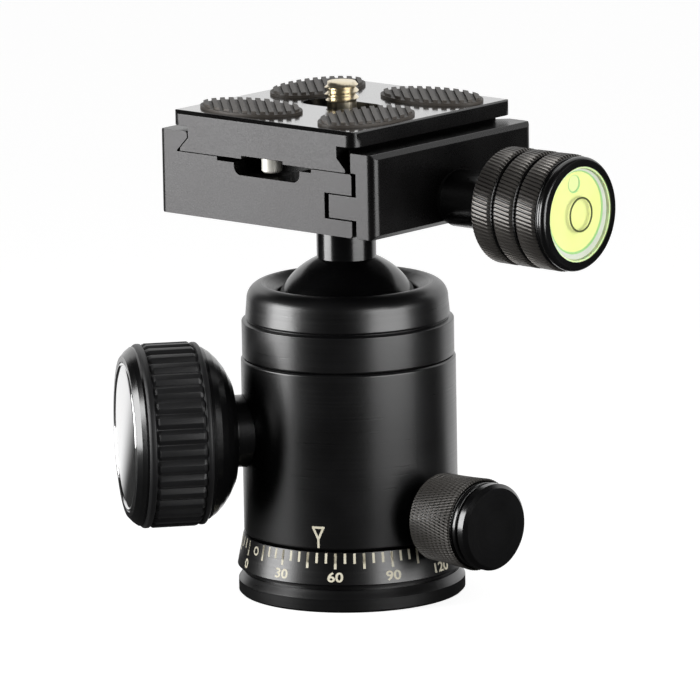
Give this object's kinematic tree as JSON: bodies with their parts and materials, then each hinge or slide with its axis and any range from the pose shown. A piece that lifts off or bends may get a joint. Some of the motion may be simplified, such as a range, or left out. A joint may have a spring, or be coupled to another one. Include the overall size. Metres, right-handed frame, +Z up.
{
  "type": "tripod ball head",
  "caption": "Compact ball head with a drop notch, main and pan lock knobs, a degree ring, and a screw-knob clamp with bubble level holding a quick-release plate.",
  "frame": {"origin": "mouth of the tripod thread, at the centre of the base's flat underside, on the panning axis", "axes": "+Z up along the panning axis; +X from the clamp towards its knob; +Y along the way the plate slides"},
  "size_m": [0.0942, 0.0644, 0.0952],
  "materials": {
    "black_anodised": "black anodised, satin gloss",
    "knob_black": "black anodised, gloss",
    "clamp_anodised": "black anodised, fine bead-blasted satin",
    "ball_black": "hard anodised, polished",
    "steel": "turned",
    "mirror_disc": "polished, slightly domed",
    "brass": "turned, bright",
    "white_nylon": "matte",
    "black_nylon": "matte",
    "rubber": "matte, moulded",
    "level_cup": "moulded",
    "level_fluid": "clear tinted liquid",
    "level_bubble": "air bubble",
    "level_lens": "clear acrylic"
  },
  "bodies": {
    "base": {"base_plate": "black_anodised", "degree_ring": "black_anodised", "thread_bushing": "steel", "pan_spindle": "steel", "pan_washer": "white_nylon", "retainer_washer": "steel", "retainer_screw": "steel"},
    "housing": {"housing": "black_anodised", "collar": "black_anodised", "upper_seat_ring": "black_nylon", "main_bushing": "knob_black"},
    "pan_plug": {"pan_plug": "brass"},
    "pan_knob": {"pan_shaft": "steel", "pan_knob": "knob_black", "pan_knob_cap": "knob_black"},
    "main_plunger": {"main_plunger": "steel"},
    "main_knob": {"main_shaft": "steel", "main_knob_core": "knob_black", "main_knob_grip": "rubber", "main_knob_bezel": "knob_black", "main_knob_disc": "mirror_disc"},
    "ball_seat": {"ball_seat": "brass"},
    "ball_liner": {"ball_liner": "white_nylon"},
    "ball": {"ball_stem": "ball_black", "clamp_bolt": "steel"},
    "clamp": {"clamp_body": "clamp_anodised", "guide_pins": "steel", "jaw_springs": "steel"},
    "jaw": {"sliding_jaw": "clamp_anodised", "thrust_washer": "black_nylon"},
    "clamp_knob": {"clamp_shaft": "steel", "clamp_knob": "knob_black", "knob_bezel": "knob_black", "level_cup": "level_cup", "level_lens": "level_lens"},
    "level_float": {"level_fluid": "level_fluid", "level_bubble": "level_bubble"},
    "plate": {"quick_plate": "clamp_anodised", "grip_pads": "rubber", "stop_screws": "steel"},
    "screw_carrier": {"screw_clip": "steel"},
    "camera_screw": {"camera_screw": "brass"}
  },
  "joints": [
    {"name": "pan_swivel", "type": "hinge", "parent": "base", "child": "housing", "pos_m": [0, 0, 0.017], "axis": [0, 0, 1], "continuous": true},
    {"name": "pan_plug_slide", "type": "slide", "parent": "housing", "child": "pan_plug", "axis": [0.9962, -0.0872, 0], "range_m": [0, 0.001]},
    {"name": "pan_knob_turn", "type": "hinge", "parent": "pan_plug", "child": "pan_knob", "pos_m": [0.02989, -0.00261, 0.017], "axis": [0.9962, -0.0872, 0], "range_deg": [0, 361]},
    {"name": "main_plunger_slide", "type": "slide", "parent": "housing", "child": "main_plunger", "axis": [-0.632, -0.7749, 0], "range_m": [0, 0.001]},
    {"name": "main_knob_turn", "type": "hinge", "parent": "main_plunger", "child": "main_knob", "pos_m": [-0.02212, -0.02712, 0.0308], "axis": [-0.632, -0.7749, 0], "range_deg": [0, 361]},
    {"name": "seat_lift", "type": "slide", "parent": "housing", "child": "ball_seat", "axis": [0, 0, 1], "range_m": [-0.00038, 0]},
    {"name": "ball_roll", "type": "hinge", "parent": "housing", "child": "ball_liner", "pos_m": [0, 0, 0.0497], "axis": [-0.7749, 0.632, 0], "range_deg": [-27, 27]},
    {"name": "ball_tilt", "type": "hinge", "parent": "ball_liner", "child": "ball", "pos_m": [0, 0, 0.0497], "axis": [0.632, 0.7749, 0], "range_deg": [-90, 27]},
    {"name": "ball_spin", "type": "hinge", "parent": "ball", "child": "clamp", "pos_m": [0, 0, 0.0716], "axis": [0, 0, 1], "continuous": true},
    {"name": "jaw_slide", "type": "slide", "parent": "clamp", "child": "jaw", "axis": [1, 0, 0], "range_m": [0, 0.0025], "deforming": ["jaw_springs"]},
    {"name": "clamp_knob_turn", "type": "hinge", "parent": "jaw", "child": "clamp_knob", "pos_m": [0.05, 0, 0.0764], "axis": [1, 0, 0], "range_deg": [0, 901]},
    {"name": "level_float_roll", "type": "hinge", "parent": "clamp_knob", "child": "level_float", "pos_m": [0.05, 0, 0.0764], "axis": [1, 0, 0], "range_deg": [-901, 0]},
    {"name": "plate_slide", "type": "slide", "parent": "clamp", "child": "plate", "axis": [0, 1, 0], "range_m": [-0.0044, 0.0044]},
    {"name": "camera_screw_shift", "type": "slide", "parent": "plate", "child": "screw_carrier", "axis": [1, 0, 0], "range_m": [-0.0044, 0.0044]},
    {"name": "camera_screw_turn", "type": "hinge", "parent": "screw_carrier", "child": "camera_screw", "pos_m": [-0.0005, 0, 0.093], "axis": [0, 0, 1], "continuous": true}
  ],
  "couplings": [
    {"joint": "pan_knob_turn", "follows": "pan_plug_slide", "rad_per_m": 6283.2},
    {"joint": "main_knob_turn", "follows": "main_plunger_slide", "rad_per_m": 6283.2},
    {"joint": "seat_lift", "follows": "main_plunger_slide", "ratio": -0.36397},
    {"joint": "clamp_knob_turn", "follows": "jaw_slide", "rad_per_m": 6283.2},
    {"joint": "level_float_roll", "follows": "jaw_slide", "rad_per_m": -6283.2}
  ]
}
